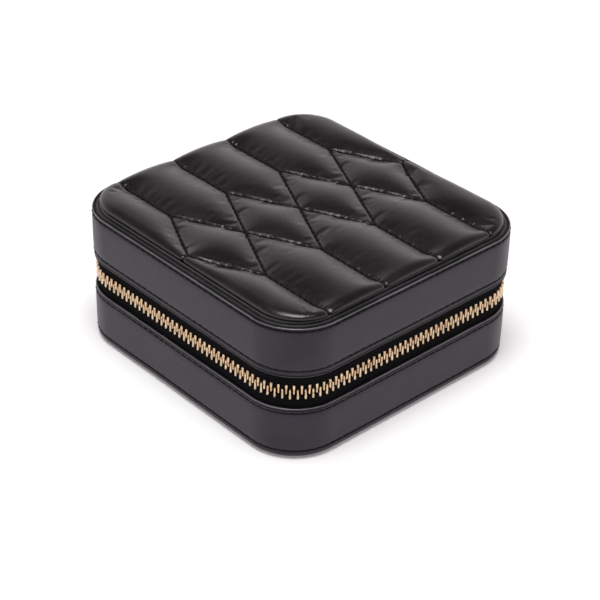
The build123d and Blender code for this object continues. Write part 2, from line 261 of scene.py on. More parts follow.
SIDE_LEATHER = leather("side_leather", (0.0060, 0.0050, 0.0078), (0.019, 0.0165, 0.0225), 0.40,
                       0.55, 0.085, Specular_IOR_Level=0.35, Specular_Tint=(1.0, 0.88, 1.0, 1.0))
# Painted highlight: light grey leather on the cut edges' outer rounding, for the light they catch.
EDGE_HIGHLIGHT = leather("painted_edge_highlight", (0.055, 0.050, 0.058), (0.120, 0.112, 0.122), 0.25, 0.4, 0.03)
# Painted shade: near-black leather for the stitch grooves, the creases and the cut edges' inner side.
GROOVE_SHADE_LEATHER = leather("painted_groove_shade", (0.003, 0.003, 0.0035), (0.006, 0.006, 0.007), 0.6,
                         0.5, 0.03, Specular_IOR_Level=0.15)
# Painted highlight: the welts' leather is lighter than the side leather, for the thin light lines they
# catch.
WELT_HIGHLIGHT_LEATHER = leather("welt_highlight_leather", (0.018, 0.017, 0.019), (0.042, 0.039, 0.043), 0.38,
                       0.4, 0.05)
PAD_LEATHER = leather("pad_leather", (0.0026, 0.0022, 0.0022), (0.0062, 0.0054, 0.0054), 0.25,
                      0.42, 0.032, Specular_Tint=(1.0, 0.90, 0.93, 1.0))
# Painted shade: darker, duller leather for the pad's faces along its seams.
SEAM_SHADE_LEATHER = leather("painted_seam_shade", (0.0015, 0.0014, 0.0014), (0.0040, 0.0036, 0.0036), 0.5,
                       0.42, 0.02, Specular_IOR_Level=0.18)
LEDGE_LEATHER = leather("ledge_leather", (0.002, 0.002, 0.0022), (0.012, 0.011, 0.012), 0.42,
                        0.75, 0.18, Specular_IOR_Level=0.2)
LINING = fabric("lining", (0.035, 0.032, 0.036), (0.075, 0.070, 0.076), 0.25, 0.12, 0.5)
ROLL_FABRIC = fabric("roll_fabric", (0.040, 0.037, 0.041), (0.085, 0.080, 0.086), 0.22, 0.12, 0.6)
ZIP_TAPE = woven_tape("zip_tape")
BRASS = metal("zip_brass", (0.78, 0.60, 0.41), (0.40, 0.275, 0.155), 0.22)
PULL_METAL = metal("pull_brass", (0.78, 0.60, 0.41), (0.66, 0.49, 0.31), 0.18, 0.004)
STEEL = metal("pin_steel", (0.62, 0.60, 0.57), (0.45, 0.43, 0.41), 0.25)
BLACK_THREAD = thread("black_thread", (0.003, 0.003, 0.003), (0.012, 0.012, 0.012), 0.6, 0.2)
PAD_THREAD = thread("pad_thread", (0.003, 0.003, 0.003), (0.012, 0.011, 0.011), 0.85, 0.06)
CARD = card("black_card", (0.012, 0.012, 0.012), (0.035, 0.034, 0.033))
MIRROR = mirror_glass("mirror_silver")


# --- the case's outline


def outline_length(inset=0.0, half_x=HALF_X, half_y=HALF_Y, radius=CORNER_R):
    """How long the outline is, this far in from its outside."""
    straights = 4 * (half_x + half_y - 2 * radius)
    return straights + 2 * math.pi * (radius - inset)


def on_outline(s, inset=0.0, half_x=HALF_X, half_y=HALF_Y, radius=CORNER_R):
    """Points, outward normals and tangents s metres along the outline, taken this far in.

    It starts at the middle of the back and runs by the left side, the front and the right side.
    """
    run_x = half_x - radius
    run_y = half_y - radius
    r = radius - inset
    quarter = r * math.pi / 2
    lengths = [run_x, quarter, 2 * run_y, quarter, 2 * run_x, quarter, 2 * run_y, quarter, run_x]
    starts = np.concatenate([[0.0], np.cumsum(lengths)])
    base_x = np.array([0, -run_x, -run_x, -run_x, -run_x, run_x, run_x, run_x, run_x])
    base_y = np.array([run_y, run_y, run_y, -run_y, -run_y, -run_y, -run_y, run_y, run_y])
    turn = np.radians([90, 90, 180, 180, 270, 270, 360, 360, 450])
    s = np.mod(np.asarray(s, float), starts[-1])
    k = np.clip(np.searchsorted(starts, s, side="right") - 1, 0, len(lengths) - 1)
    along = s - starts[k]
    curved = k % 2 == 1
    angle = turn[k] + np.where(curved, along / r, 0.0)
    straight = np.where(curved, 0.0, along)
    normal = np.stack([np.cos(angle), np.sin(angle)], 1)
    tangent = np.stack([-normal[:, 1], normal[:, 0]], 1)
    base = np.stack([base_x[k], base_y[k]], 1)
    return base + normal * r + tangent * straight[:, None], normal, tangent


# --- mesh building


def place_object(name, data):
    """A new object in the scene that shows a mesh, light or camera."""
    item = bpy.data.objects.new(name, data)
    bpy.context.scene.collection.objects.link(item)
    return item


def make_piece(name, verts, faces, material, body, replaces=(), sharp=50.0):
    """A mesh object that rides on a body, shaded smooth except at sharp edges."""
    mesh = bpy.data.meshes.new(name)
    faces = [tuple(int(i) for i in face) for face in faces]
    mesh.from_pydata([tuple(v) for v in verts], [], faces)
    mesh.validate()
    mesh.materials.append(material)
    finish_shading(mesh, sharp)
    piece = place_object(name, mesh)
    if body:
        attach(piece, body)
    if replaces:
        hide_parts(*replaces)
    return piece


def finish_shading(mesh, sharp):
    """Outward faces, smooth shading and sharp edges above an angle in degrees."""
    work = bmesh.new()
    work.from_mesh(mesh)
    bmesh.ops.recalc_face_normals(work, faces=work.faces)
    work.to_mesh(mesh)
    work.free()
    for polygon in mesh.polygons:
        polygon.use_smooth = True
    mesh.set_sharp_from_angle(angle=math.radians(sharp))


def ring_faces(columns, rows, closed_rows=True, closed_columns=True):
    """Quads of a grid whose columns, and perhaps rows, join up."""
    last_column = columns if closed_columns else columns - 1
    last_row = rows if closed_rows else rows - 1
    j, i = np.meshgrid(np.arange(last_column), np.arange(last_row), indexing="ij")
    j, i = j.ravel(), i.ravel()
    j2, i2 = (j + 1) % columns, (i + 1) % rows
    return np.stack([j * rows + i, j2 * rows + i, j2 * rows + i2, j * rows + i2], 1)


def tube_faces(columns, rows):
    """Faces of a closed tube: its wall, then a cap at each end."""
    last = (columns - 1) * rows
    wall = ring_faces(columns, rows, closed_columns=False).tolist()
    return wall + [list(range(rows)), list(range(last, last + rows))]


def unit(vectors):
    """The same directions, each of length one."""
    return vectors / np.linalg.norm(vectors, axis=1)[:, None]


def arc_points(centre, radius, start, end, count):
    """Points on an arc of a profile, angles in degrees."""
    angles = np.radians(np.linspace(start, end, count))
    return [(centre[0] + radius * math.cos(a), centre[1] + radius * math.sin(a)) for a in angles]


def line_points(start, end, step):
    """Points from start to end of a profile, without the end, no further apart than step."""
    start, end = np.array(start, float), np.array(end, float)
    count = max(1, int(math.ceil(np.linalg.norm(end - start) / step)))
    return [tuple(start + (end - start) * i / count) for i in range(count)]


def sweep_ring(profile, step, shape=None, span=None):
    """Points and faces of a profile of (inset, z) carried round the outline.

    shape takes the place along the outline and the profile and gives how far each point moves
    out and up. span is the stretch of outline to cover, or all of it.
    """
    profile = np.array(profile, float)
    length = outline_length()
    start, end = span or (0.0, length)
    columns = int(round((end - start) / step)) + (1 if span else 0)
    places = start + (end - start) * np.arange(columns) / (columns - 1 if span else columns)
    points, normals, _ = on_outline(places)
    inset = np.tile(profile[:, 0], (columns, 1))
    z = np.tile(profile[:, 1], (columns, 1))
    if shape:
        out, up = shape(places[:, None], inset, z)
        inset = inset - out
        z = z + up
    xy = points[:, None, :] - normals[:, None, :] * inset[:, :, None]
    verts = np.concatenate([xy, z[:, :, None]], 2).reshape(-1, 3)
    faces = ring_faces(columns, len(profile), closed_columns=span is None)
    return verts, faces


RIPPLE_WAVES = 7
RIPPLE_LEAN = 8 * MM


def ripple(s, z, seed, size, wavelength):
    """Slow, repeatable unevenness along the outline, the same at both ends of it."""
    length = outline_length()
    random = np.random.default_rng(seed)
    total = np.zeros(np.broadcast(s, z).shape)
    for _ in range(RIPPLE_WAVES):
        turns = max(1, round(length / wavelength * random.uniform(0.5, 1.8)))
        phase, lean = random.uniform(0, 2 * math.pi), random.uniform(-1, 1)
        total = total + np.sin(2 * math.pi * turns * s / length + phase + lean * z / RIPPLE_LEAN)
    return size * total / 3.0


# --- stitching

STITCH_STATIONS = 7
STITCH_SIDES = 6
STITCH_TAPER = 3.5
STITCH_TIP_R = 0.04 * MM
STITCH_DIP = 0.55
SIDE_STITCH_RISE = 0.25
PAD_STITCH_RISE = 0.3


def stitch_mesh(starts, ends, outs, width, rise):
    """Points and faces of short rounded stitches from starts to ends, arched along outs."""
    starts, ends, outs = (np.asarray(a, float) for a in (starts, ends, outs))
    stations = np.linspace(-1, 1, STITCH_STATIONS)
    around = np.linspace(0, 2 * math.pi, STITCH_SIDES + 1)[:-1]
    along = ends - starts
    side = unit(np.cross(outs, unit(along)))
    verts = []
    for u in stations:
        thick = width / 2 * (1 - abs(u) ** STITCH_TAPER) ** 0.5 + STITCH_TIP_R
        lift = width * (rise * (1 - u * u) - STITCH_DIP * u ** 6)
        centre = (starts + ends) / 2 + along * u / 2 + outs * lift
        for angle in around:
            ring = side * math.cos(angle) + outs * math.sin(angle)
            verts.append(centre + ring * thick)
    faces = []
    for number in range(len(starts)):
        offset = number * len(verts)
        faces += [[i + offset for i in face] for face in tube_faces(len(stations), len(around))]
    return np.stack(verts, 1).reshape(-1, 3), faces


def ring_stitches(name, z, body):
    """A row of stitches round the side at one level."""
    count = int(round(outline_length() / STITCH_PITCH))
    middles = (np.arange(count) + 0.5) * outline_length() / count
    half = (STITCH_PITCH - STITCH_GAP) / 2
    a, normal, _ = on_outline(middles - half)
    b, normal_b, _ = on_outline(middles + half)
    mid = unit((normal + normal_b) / 2)
    level = np.full(count, z)
    starts = np.column_stack([a - mid * STITCH_SUNK, level])
    ends = np.column_stack([b - mid * STITCH_SUNK, level])
    outs = np.column_stack([mid, np.zeros(count)])
    verts, faces = stitch_mesh(starts, ends, outs, STITCH_W, SIDE_STITCH_RISE)
    make_piece(name, verts, faces, BLACK_THREAD, body, sharp=80)


# --- side leather

STITCH_PITCH = 3.0 * MM
STITCH_GAP = 0.45 * MM
STITCH_W = 0.38 * MM
STITCH_SUNK = 0.12 * MM
BASE_STITCH_LOW = 3.2 * MM
BASE_STITCH_HIGH = 18.3 * MM
LID_STITCH_LOW = 35.0 * MM
LID_STITCH_HIGH = 50.0 * MM
CREASE_FROM_EDGE = 0.75 * MM
SIDE_ROW = 0.2 * MM
# Half widths of the painted shade along stitch grooves and creases; width and height of the painted edge
# highlight.
GROOVE_HALF = 0.31 * MM
CREASE_HALF = 0.21 * MM
EDGE_LIGHT_W = 0.42 * MM
EDGE_BAND_H = 0.3 * MM
CUT_EDGE_R = 0.45 * MM
BOTTOM_R = 1.4 * MM
TURN_UNDER = 9.0 * MM
SIDE_STEP = 0.6 * MM
PILLOW = 0.12 * MM
STITCH_GROOVE = (0.36 * MM, 0.22 * MM, 0.09 * MM)
STITCH_VALLEY = (1.2 * MM, 0.14 * MM)
CREASE_GROOVE = (0.24 * MM, 0.13 * MM)


def side_shape(rows, creases, low, high, seed):
    """How the side leather dips at its stitches and creases, and waves between them."""
    count = int(round(outline_length() / STITCH_PITCH))
    groove_w, groove_depth, groove_swing = STITCH_GROOVE
    valley_w, valley_depth = STITCH_VALLEY
    crease_w, crease_depth = CREASE_GROOVE

    def shape(s, inset, z):
        outside = (inset < LEATHER_T * 0.75).astype(float)
        out = ripple(s, z, seed, 0.05 * MM, 45 * MM)
        phase = np.cos(2 * math.pi * count * s / outline_length())
        for row in rows:
            groove = groove_depth + groove_swing * phase
            out = out - np.exp(-(((z - row) / groove_w) ** 2)) * groove
            out = out - np.exp(-(((z - row) / valley_w) ** 2)) * valley_depth
        for row in creases:
            out = out - np.exp(-(((z - row) / crease_w) ** 2)) * crease_depth
        pillow = np.clip((z - low) * (high - z) / ((high - low) / 2) ** 2, 0, 1)
        return (out + PILLOW * pillow) * outside, np.zeros_like(out)

    return shape


def paint_edge_light_and_shade(piece, edges, lines):
    """Paint highlights on the cut edges, and shade on their inner side, creases and grooves."""
    mesh = piece.data
    mesh.materials.append(EDGE_HIGHLIGHT)
    mesh.materials.append(GROOVE_SHADE_LEATHER)
    middles = np.array([polygon.center for polygon in mesh.polygons])
    offset = np.abs(middles[:, :2]) - np.array([HALF_X - CORNER_R, HALF_Y - CORNER_R])
    beyond = np.maximum(offset, 0)
    inset = CORNER_R - np.hypot(beyond[:, 0], beyond[:, 1])
    z = middles[:, 2]
    at_edge = np.any([np.abs(z - edge) < EDGE_BAND_H for edge in edges], axis=0)
    in_line = np.any([np.abs(z - line) < half for line, half in lines], axis=0)
    in_line &= inset < LEATHER_T / 2
    # Index 1 is the painted edge highlight, index 2 the painted shade.
    painted_light_index = np.where(at_edge & (inset < EDGE_LIGHT_W), 1, 0)
    painted_light_index = np.where((at_edge & (inset >= EDGE_LIGHT_W)) | in_line, 2, painted_light_index)
    mesh.polygons.foreach_set("material_index", painted_light_index.astype(np.int32))
    mesh.update()


def top_edge(top):
    """Profile of a cut edge: well rounded outside, less so inside."""
    outer, inner = CUT_EDGE_R, CUT_EDGE_R / 2
    profile = arc_points((outer, top - outer), outer, 180, 90, 5)
    return profile + arc_points((LEATHER_T - inner, top - inner), inner, 90, 0, 3)


def make_side_leather(body, profile, rows, creases, ends, edges, seed):
    """One body's band of side leather, with its creases, cut edges and two stitch rows."""
    verts, faces = sweep_ring(profile, SIDE_STEP, side_shape(rows, creases, *ends, seed))
    piece = make_piece(body + "_side_leather", verts, faces, SIDE_LEATHER, body,
                       [body + "_band"])
    lines = [(row, GROOVE_HALF) for row in rows] + [(row, CREASE_HALF) for row in creases]
    paint_edge_light_and_shade(piece, edges, lines)
    for place, z in zip(("low", "high"), rows):
        ring_stitches(f"{body}_stitches_{place}", z, body)


def make_base_leather():
    """Side leather of the base: rounded below, turned under, cut edge above."""
    bottom, inner_bottom = band_low.z, band_low.z + LEATHER_T
    under, round_r, edge_r = TURN_UNDER, BOTTOM_R, CUT_EDGE_R
    profile = line_points((under, bottom), (round_r, bottom), 2.0 * MM)
    profile += arc_points((round_r, bottom + round_r), round_r, -90, -180, 9)[:-1]
    profile += line_points((0, bottom + round_r), (0, BASE_EDGE - edge_r), SIDE_ROW)
    profile += top_edge(BASE_EDGE)
    profile += line_points((LEATHER_T, BASE_EDGE - edge_r), (LEATHER_T, inner_bottom), 5 * MM)
    profile += line_points((LEATHER_T, inner_bottom), (under, inner_bottom), 4 * MM)
    profile.append((under, inner_bottom))
    make_side_leather("base", profile, (BASE_STITCH_LOW, BASE_STITCH_HIGH),
                      (BASE_EDGE - CREASE_FROM_EDGE,), (bottom, BASE_EDGE), (BASE_EDGE,), 3)


def make_lid_leather():
    """Side leather of the lid, with both edges cut."""
    outer, inner = CUT_EDGE_R, CUT_EDGE_R / 2
    low, high = LID_EDGE + outer, LID_TOP - outer
    profile = arc_points((outer, low), outer, -90, -180, 5)
    profile += line_points((0, low), (0, high), SIDE_ROW)[1:]
    profile += top_edge(LID_TOP)
    profile += line_points((LEATHER_T, high), (LEATHER_T, low), 5 * MM)[1:]
    profile += arc_points((LEATHER_T - inner, LID_EDGE + inner), inner, 0, -90, 3)
    creases = (LID_EDGE + CREASE_FROM_EDGE, LID_TOP - CREASE_FROM_EDGE)
    ends = (LID_EDGE, LID_TOP)
    make_side_leather("lid", profile, (LID_STITCH_LOW, LID_STITCH_HIGH), creases, ends, ends, 8)


# --- ledge and welt round the pad

LEDGE_INSET = LEATHER_T
LEDGE_END = 9.0 * MM
LEDGE_OUTER_Z = LID_TOP - 0.15 * MM
LEDGE_INNER_Z = LID_TOP + 0.25 * MM
WELT_Z = LID_TOP + 0.40 * MM
LEDGE_FOLD_Z = LID_TOP - 0.05 * MM
WELT_INSET = 3.3 * MM
WELT_R = 0.42 * MM
LEDGE_FOLD_INSET = 1.9 * MM
LEDGE_FOLD_R = 0.20 * MM


def make_ledge():
    """Grained leather ledge just below the side leather's cut edge, rising to the pad."""
    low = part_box("lid_rim_leather")[0].z
    outer, inner = LEDGE_OUTER_Z, LEDGE_INNER_Z
    profile = line_points((LEDGE_INSET, low), (LEDGE_INSET, outer), 0.3 * MM)
    profile += line_points((LEDGE_INSET, outer), (WELT_INSET, inner), 0.3 * MM)
    profile += line_points((WELT_INSET, inner), (LEDGE_END, inner), 0.6 * MM)
    profile += line_points((LEDGE_END, inner), (LEDGE_END, low), 0.5 * MM)
    profile += line_points((LEDGE_END, low), (LEDGE_INSET, low), 2 * MM)

    def shape(s, inset, z):
        top = (z > outer - 0.05 * MM).astype(float)
        grain = ripple(s, inset * 9, 21, 0.07 * MM, 7 * MM)
        return np.zeros(np.broadcast(s, z).shape), grain * top

    verts, faces = sweep_ring(profile, 0.7 * MM, shape)
    make_piece("lid_ledge", verts, faces, LEDGE_LEATHER, "lid",
               ["lid_rim_leather"])


def make_welt(name, inset, level, radius, seed, replaces=()):
    """Thin fold of leather round the lid, this far in and at this level, lighter than the sides as a painted
    highlight.
    """
    profile = arc_points((inset, level), radius, 0, 360, 13)[:-1]

    def shape(s, inset, z):
        wobble = ripple(s, inset * 0, seed, 0.05 * MM, 18 * MM)
        return wobble, wobble * 0.5

    verts, faces = sweep_ring(profile, 0.8 * MM, shape)
    make_piece(name, verts, faces, WELT_HIGHLIGHT_LEATHER, "lid", replaces)


make_base_leather()
make_lid_leather()
make_ledge()
make_welt("pad_foot_welt", WELT_INSET, WELT_Z, WELT_R, 5, ["pad_welt"])
make_welt("ledge_fold", LEDGE_FOLD_INSET, LEDGE_FOLD_Z, LEDGE_FOLD_R, 6)


# --- quilted pad

SEAM_PITCH = 24.8 * MM
SEAM_SHIFT = -0.2 * MM
DIAMOND_HALF_L = 25.0 * MM
DIAMOND_HALF_W = SEAM_PITCH / 2
QUILT_STITCH = 2.8 * MM
SEAM_DEPTH = 2.2 * MM
SEAM_REACH = 12.0 * MM
HOLE_DEPTH = 0.15 * MM
GROOVE_DEPTH = 0.42 * MM
SEAM_SHADE_HALF_W = 0.62 * MM
SMOOTH_ROUNDS = 40
PAD_SHIFT = 0.4 * MM
PAD_HALF_X = HALF_X - PAD_SHIFT
PAD_HALF_Y = HALF_Y + PAD_SHIFT
PAD_FOOT_INSET = 3.9 * MM
PAD_FOOT_Z = LID_TOP + 0.2 * MM
PAD_SIDE_R = 1.9 * MM
PAD_SIDE_START = math.radians(-50)
PAD_SIDE_STRETCH = 1.9
PAD_SIDE_L = PAD_SIDE_R * (math.pi / 2 - PAD_SIDE_START)
PAD_SIDE_INSET = PAD_FOOT_INSET + PAD_SIDE_R * PAD_SIDE_STRETCH * math.cos(PAD_SIDE_START)
PAD_SIDE_Z = PAD_FOOT_Z - PAD_SIDE_R * math.sin(PAD_SIDE_START)
PAD_CROWN = 0.3 * MM
PAD_UNDERSIDE_Z = LID_TOP + 0.05 * MM
FLAT_INSET = PAD_SIDE_INSET - PAD_SIDE_L
SIM_SCALE = 10.0
SIM_FRAMES = 18
BENDING = 14.0
PRESSURE = 5.0
SHRINK = -0.0022
PUFF_CAP = 1.3 * MM
EDGE_FADE = 8.0 * MM
EDGE_SINK = 0.25
CROWN_REACH = 8.0 * MM
CLEAR_OF_SEAM = 0.6
ON_EDGE = 0.05 * MM
ON_SEAM = 0.01 * MM
TRIANGLE_H = 0.866
UNDERSIDE_DRAW = 0.99
STITCH_FROM_EDGE = 1.2 * MM
STITCH_SPAN = (0.16, 0.84)
STITCH_IN_GROOVE = 0.06 * MM
PAD_STITCH_W = 0.36 * MM


def seam_lines():
    """Seams on the unrolled pad: each is straight, forks round a diamond and closes."""
    seams = []
    end_y = PAD_HALF_Y - FLAT_INSET
    for number in range(4):
        middle = (number - 1.5) * SEAM_PITCH + SEAM_SHIFT
        for end in (-1, 1):
            fork = (middle, end * DIAMOND_HALF_L)
            seams.append((fork, (middle, end * end_y)))
            for side in (-1, 1):
                seams.append((fork, (middle + side * DIAMOND_HALF_W, 0.0)))
    for side in (-1, 1):
        tip = (side * 2 * SEAM_PITCH + SEAM_SHIFT, 0.0)
        seams.append((tip, (side * (PAD_HALF_X - FLAT_INSET), 0.0)))
    return [np.array(seam) for seam in seams]


def from_edge(xy):
    """How far points lie in from the unrolled pad's edge, and the outward direction there."""
    core = np.array([PAD_HALF_X - CORNER_R, PAD_HALF_Y - CORNER_R])
    offset = np.abs(xy) - core
    beyond = np.maximum(offset, 0)
    length = np.hypot(beyond[:, 0], beyond[:, 1])
    inside = np.minimum(np.maximum(offset[:, 0], offset[:, 1]), 0)
    direction = np.where(length[:, None] > 0, beyond, (offset >= offset.max(1)[:, None]) * 1.0)
    return CORNER_R - FLAT_INSET - length - inside, unit(direction) * np.sign(xy + 1e-12)


def distance_to(xy, segment):
    """How far points lie from a straight segment."""
    start, end = segment
    along = end - start
    t = np.clip(((xy - start) @ along) / (along @ along), 0, 1)
    return np.linalg.norm(xy - start - t[:, None] * along, axis=1)


def from_seams(xy):
    """How far points lie from the nearest seam."""
    return np.min([distance_to(xy, segment) for segment in seam_lines()], axis=0)


def fold(xy, sink):
    """The unrolled pad's points on the padded shape, pressed in by sink along the surface."""
    t, outward = from_edge(xy)
    side = np.minimum(t, PAD_SIDE_L)
    angle = PAD_SIDE_START + side / PAD_SIDE_R
    moved = PAD_SIDE_INSET - PAD_SIDE_R * PAD_SIDE_STRETCH * np.cos(angle) - FLAT_INSET - side
    top = np.maximum(t - PAD_SIDE_L, 0)
    z = PAD_SIDE_Z + PAD_SIDE_R * np.sin(angle) + PAD_CROWN * (1 - np.exp(-top / CROWN_REACH))
    xy = xy - outward * (moved - sink * -np.cos(angle))[:, None]
    return np.column_stack([xy, z - sink * np.sin(angle)])


def seam_points(segment):
    """Points along a seam, three to a stitch, and which of them are needle holes."""
    length = np.linalg.norm(segment[1] - segment[0])
    stitches = max(1, round(length / QUILT_STITCH))
    count = stitches * 3
    places = np.linspace(0, 1, count + 1)[:, None]
    points = segment[0] + (segment[1] - segment[0]) * places
    return points, np.arange(count + 1) % 3 == 0


def pad_plan():
    """Points and triangles of the unrolled pad, with its seams and edge along mesh edges."""
    step = QUILT_STITCH / 3
    segments = seam_lines()
    outline = (FLAT_INSET, PAD_HALF_X, PAD_HALF_Y)
    length = outline_length(*outline)
    around = int(round(length / step))
    edge, _, _ = on_outline(np.arange(around) * length / around, *outline)
    points, edges, holes = [edge], [], [np.zeros(around, bool)]
    total = around
    for segment in segments:
        seam, hole = seam_points(segment)
        points.append(seam)
        holes.append(hole)
        edges += [(total + i, total + i + 1) for i in range(len(seam) - 1)]
        total += len(seam)
    rows = np.arange(-HALF_Y, HALF_Y, step * TRIANGLE_H)
    grid = []
    for number, y in enumerate(rows):
        x = np.arange(-HALF_X, HALF_X, step) + (number % 2) * step / 2
        grid.append(np.column_stack([x, np.full(len(x), y)]))
    grid = np.concatenate(grid)
    clear = from_edge(grid)[0] > step * CLEAR_OF_SEAM
    for segment in segments:
        clear &= distance_to(grid, segment) > step * CLEAR_OF_SEAM
    points.append(grid[clear])
    holes.append(np.zeros(clear.sum(), bool))
    points = np.concatenate(points)
    flat, _, faces, origins, _, _ = delaunay_2d_cdt(
        [Vector(p) for p in points], edges, [list(range(around))], 1, 1e-7
    )
    hole = np.concatenate(holes)
    is_hole = np.array([any(hole[i] for i in found) for found in origins])
    return np.array([(p.x, p.y) for p in flat]), faces, is_hole


def seam_sink(xy):
    """How deep each point is drawn down by the nearest seam, and whether it lies on a seam."""
    nearest = from_seams(xy)
    t, _ = from_edge(xy)
    fade = EDGE_SINK + (1 - EDGE_SINK) * np.clip(t / EDGE_FADE, 0, 1) ** 1.5
    sink = SEAM_DEPTH * (1 - np.clip(nearest / SEAM_REACH, 0, 1)) ** 2
    return sink * fade * np.clip(t / MM, 0, 1), nearest < ON_SEAM


def triangle_sides(faces):
    """The three sides of every triangle, each as its two points in rising order."""
    sides = np.concatenate([faces[:, [0, 1]], faces[:, [1, 2]], faces[:, [2, 0]]])
    return np.sort(sides, axis=1)


def smooth_between(values, faces, held, rounds):
    """Average each point with its neighbours, except where held, so that no ridge is left."""
    sides = np.unique(triangle_sides(np.array(faces)), axis=0)
    count = np.bincount(sides.ravel(), minlength=len(values))
    free = ~held
    for _ in range(rounds):
        total = np.bincount(sides[:, 0], values[sides[:, 1]], len(values))
        total += np.bincount(sides[:, 1], values[sides[:, 0]], len(values))
        values = np.where(free, total / count, values)
    return values


def run_cloth(piece, pinned, settings):
    """Run a cloth simulation on a mesh held at its pinned points; return where it ends."""
    group = piece.vertex_groups.new(name="pinned")
    group.add([int(i) for i in np.flatnonzero(pinned)], 1.0, "REPLACE")
    modifier = piece.modifiers.new("Cloth", "CLOTH")
    cloth = modifier.settings
    cloth.vertex_group_mass = "pinned"
    for key, value in settings.items():
        setattr(cloth, key, value)
    cloth.effector_weights.gravity = 0
    scene = bpy.context.scene
    for number in range(1, SIM_FRAMES + 1):
        scene.frame_set(number)
    evaluated = piece.evaluated_get(bpy.context.evaluated_depsgraph_get())
    moved = np.array([v.co for v in evaluated.data.vertices])
    piece.modifiers.remove(modifier)
    piece.vertex_groups.clear()
    scene.frame_set(1)
    return moved


def puff(verts, faces, pinned):
    """Swell the leather between its seams with cloth under pressure, within a cap."""
    mesh = bpy.data.meshes.new("pad_cloth")
    mesh.from_pydata((verts * SIM_SCALE).tolist(), [], faces)
    piece = place_object("pad_cloth", mesh)
    settings = {
        "quality": 6,
        "mass": 0.25,
        "tension_stiffness": 20.0,
        "compression_stiffness": 20.0,
        "shear_stiffness": 10.0,
        "bending_stiffness": BENDING,
        "use_pressure": True,
        "uniform_pressure_force": PRESSURE,
        "shrink_min": SHRINK,
    }
    moved = run_cloth(piece, pinned, settings) / SIM_SCALE
    bpy.data.objects.remove(piece)
    change = moved - verts
    size = np.linalg.norm(change, axis=1)
    return verts + change * np.minimum(1, PUFF_CAP / np.maximum(size, 1e-9))[:, None]


def close_below(piece, low):
    """Carry a mesh's open edge down to a flat underside and cap it."""
    work = bmesh.new()
    work.from_mesh(piece.data)
    rim = [edge for edge in work.edges if edge.is_boundary]
    made = bmesh.ops.extrude_edge_only(work, edges=rim)["geom"]
    for vert in [item for item in made if isinstance(item, bmesh.types.BMVert)]:
        vert.co = (vert.co.x * UNDERSIDE_DRAW, vert.co.y * UNDERSIDE_DRAW, low)
    lower = [item for item in made if isinstance(item, bmesh.types.BMEdge) and item.is_boundary]
    cap = bmesh.ops.edgeloop_fill(work, edges=lower)["faces"]
    bmesh.ops.triangulate(work, faces=cap)
    work.to_mesh(piece.data)
    work.free()
    finish_shading(piece.data, 70)


def refine(verts, faces):
    """Split each triangle in four, with the new points on a curve through the old ones."""
    faces = np.array(faces)
    corners = verts[faces]
    face_normals = np.cross(corners[:, 1] - corners[:, 0], corners[:, 2] - corners[:, 0])
    normals = np.zeros_like(verts)
    for k in range(3):
        np.add.at(normals, faces[:, k], face_normals)
    normals /= np.maximum(np.linalg.norm(normals, axis=1), 1e-15)[:, None]
    sides, which = np.unique(triangle_sides(faces), axis=0, return_inverse=True)
    a, b = verts[sides[:, 0]], verts[sides[:, 1]]
    na, nb = normals[sides[:, 0]], normals[sides[:, 1]]
    rise_a = np.sum((b - a) * na, axis=1)[:, None] * na
    rise_b = np.sum((b - a) * nb, axis=1)[:, None] * nb
    middles = (a + b) / 2 + (rise_b - rise_a) / 8
    ab, bc, ca = which.reshape(3, -1) + len(verts)
    a, b, c = faces.T
    split = [(a, ab, ca), (b, bc, ab), (c, ca, bc), (ab, bc, ca)]
    faces = np.concatenate([np.stack(part, 1) for part in split])
    return np.concatenate([verts, middles]), faces


def paint_seam_shade(cover):
    """Paint shade on the leather drawn down into the seams: a darker colour, and a duller gloss."""
    mesh = cover.data
    mesh.materials.append(SEAM_SHADE_LEATHER)
    middles = np.array([polygon.center for polygon in mesh.polygons])[:, :2]
    on_seam = from_seams(middles) < SEAM_SHADE_HALF_W
    mesh.polygons.foreach_set("material_index", on_seam.astype(np.int32))
    mesh.update()


def make_pad():
    """The quilted cover: an unrolled plan, folded over the pad's side, sewn down and puffed."""
    flat, faces, holes = pad_plan()
    sink, on_seam = seam_sink(flat)
    on_edge = from_edge(flat)[0] < ON_EDGE
    sink = smooth_between(sink, faces, on_seam | on_edge, SMOOTH_ROUNDS)
    sink = sink + np.where(holes, HOLE_DEPTH, 0.0) + np.where(on_seam, GROOVE_DEPTH, 0.0)
    verts = fold(flat, sink)
    verts = puff(verts, faces, on_seam | on_edge)
    verts, faces = refine(verts, faces)
    cover = make_piece("quilted_top", verts, faces, PAD_LEATHER, "lid",
                       ["quilted_cover", "pad_wadding"], sharp=70)
    paint_seam_shade(cover)
    close_below(cover, PAD_UNDERSIDE_Z)
    return cover


def make_pad_stitches():
    """Thread stitches lying in the quilting seams."""
    starts, ends, outs = [], [], []
    for segment in seam_lines():
        points, _ = seam_points(segment)
        t, _ = from_edge(points)
        sink, _ = seam_sink(points)
        placed = fold(points, sink + GROOVE_DEPTH - STITCH_IN_GROOVE)
        raised = fold(points, sink - MM)
        for i in range(0, len(points) - 3, 3):
            if min(t[i], t[i + 3]) < STITCH_FROM_EDGE:
                continue
            span = placed[i + 3] - placed[i]
            starts.append(placed[i] + span * STITCH_SPAN[0])
            ends.append(placed[i] + span * STITCH_SPAN[1])
            outs.append(raised[i + 1] - placed[i + 1])
    verts, faces = stitch_mesh(starts, ends, unit(np.array(outs)), PAD_STITCH_W, PAD_STITCH_RISE)
    make_piece("quilting_thread", verts, faces, PAD_THREAD, "lid", sharp=80)


make_pad()
make_pad_stitches()


# --- zip

